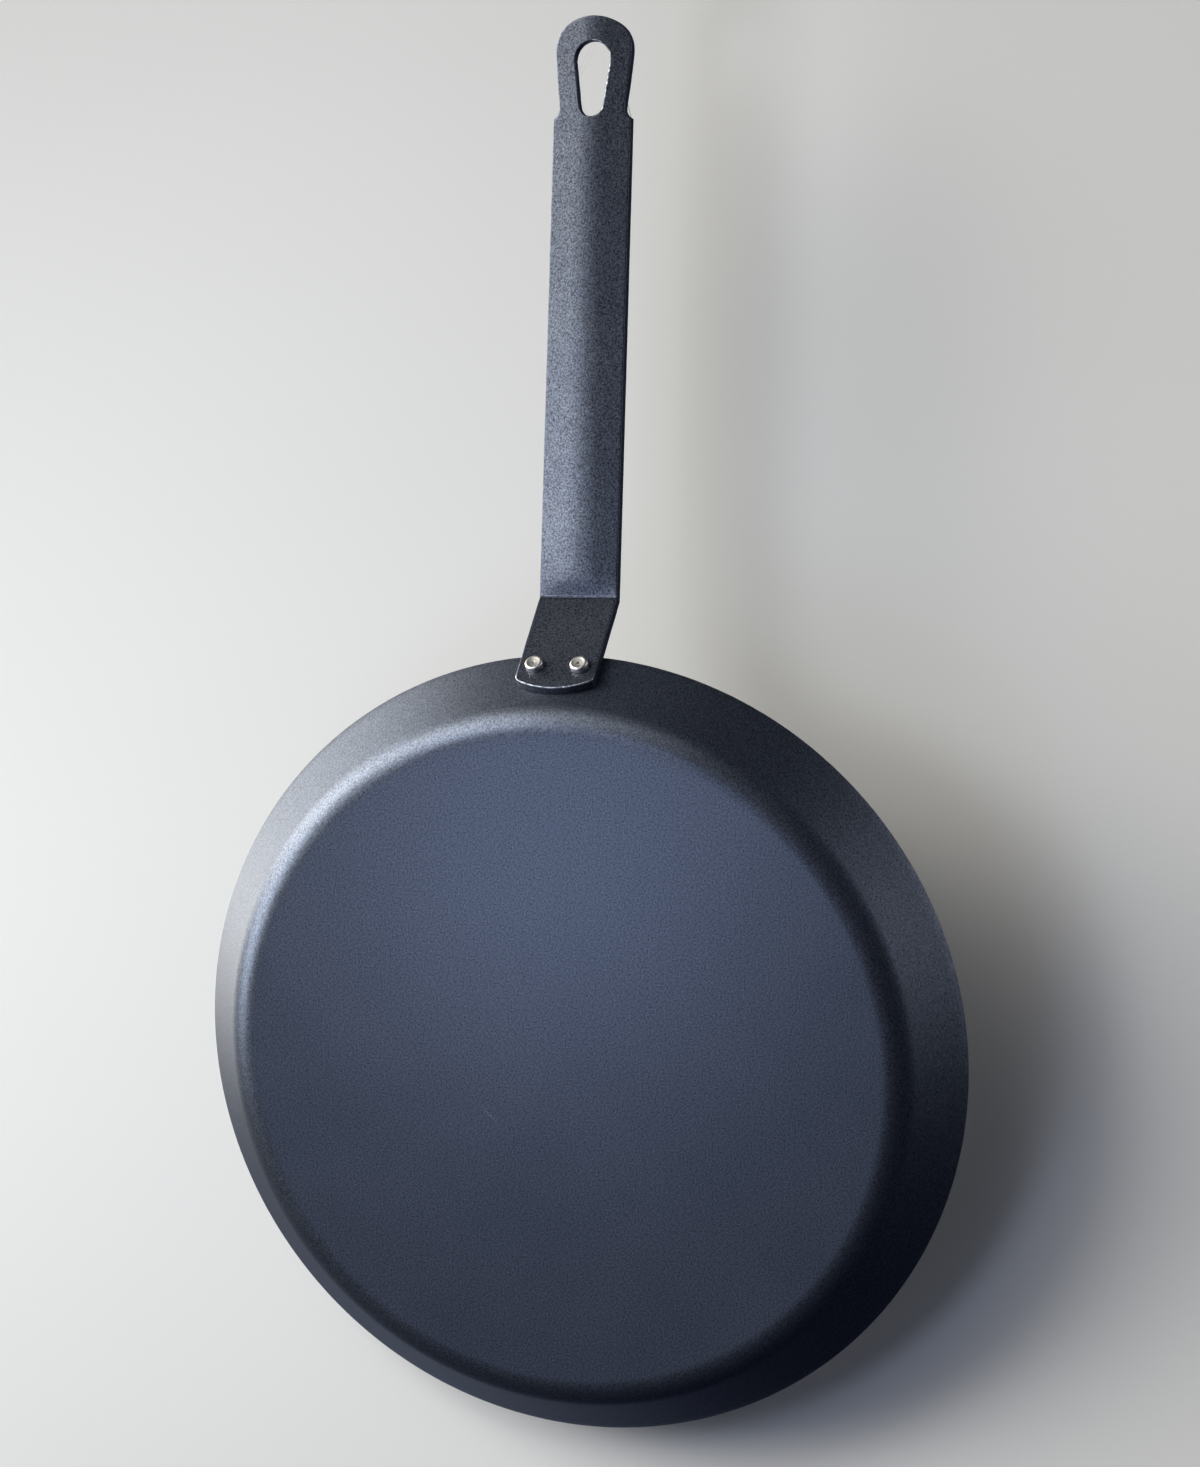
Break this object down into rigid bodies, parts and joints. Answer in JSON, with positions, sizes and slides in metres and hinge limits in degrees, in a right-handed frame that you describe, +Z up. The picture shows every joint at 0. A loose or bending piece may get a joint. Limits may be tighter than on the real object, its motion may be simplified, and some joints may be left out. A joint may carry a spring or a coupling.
{
  "type": "frying pan",
  "caption": "Shallow pressed-steel frying pan with a flat base, flared wall and a long riveted strip handle ending in a hanging loop.",
  "frame": {"origin": "centre of the flat underside of the base", "axes": "+Z up out of the pan's mouth, +X along the handle from the pan to the hanging loop, +Y across the handle; X-Z is the plane of symmetry"},
  "size_m": [0.4963, 0.2794, 0.0876],
  "materials": {
    "pan_steel": null,
    "handle_coat": "dark grey baked powder coat with a fine grainy texture, worn bright along the tab's edges",
    "rivet_steel": "bare upset steel, slightly dulled"
  },
  "bodies": {
    "root": {"pan_body": "pan_steel", "handle": "handle_coat", "rivet_left": "rivet_steel", "rivet_right": "rivet_steel"}
  },
  "joints": []
}
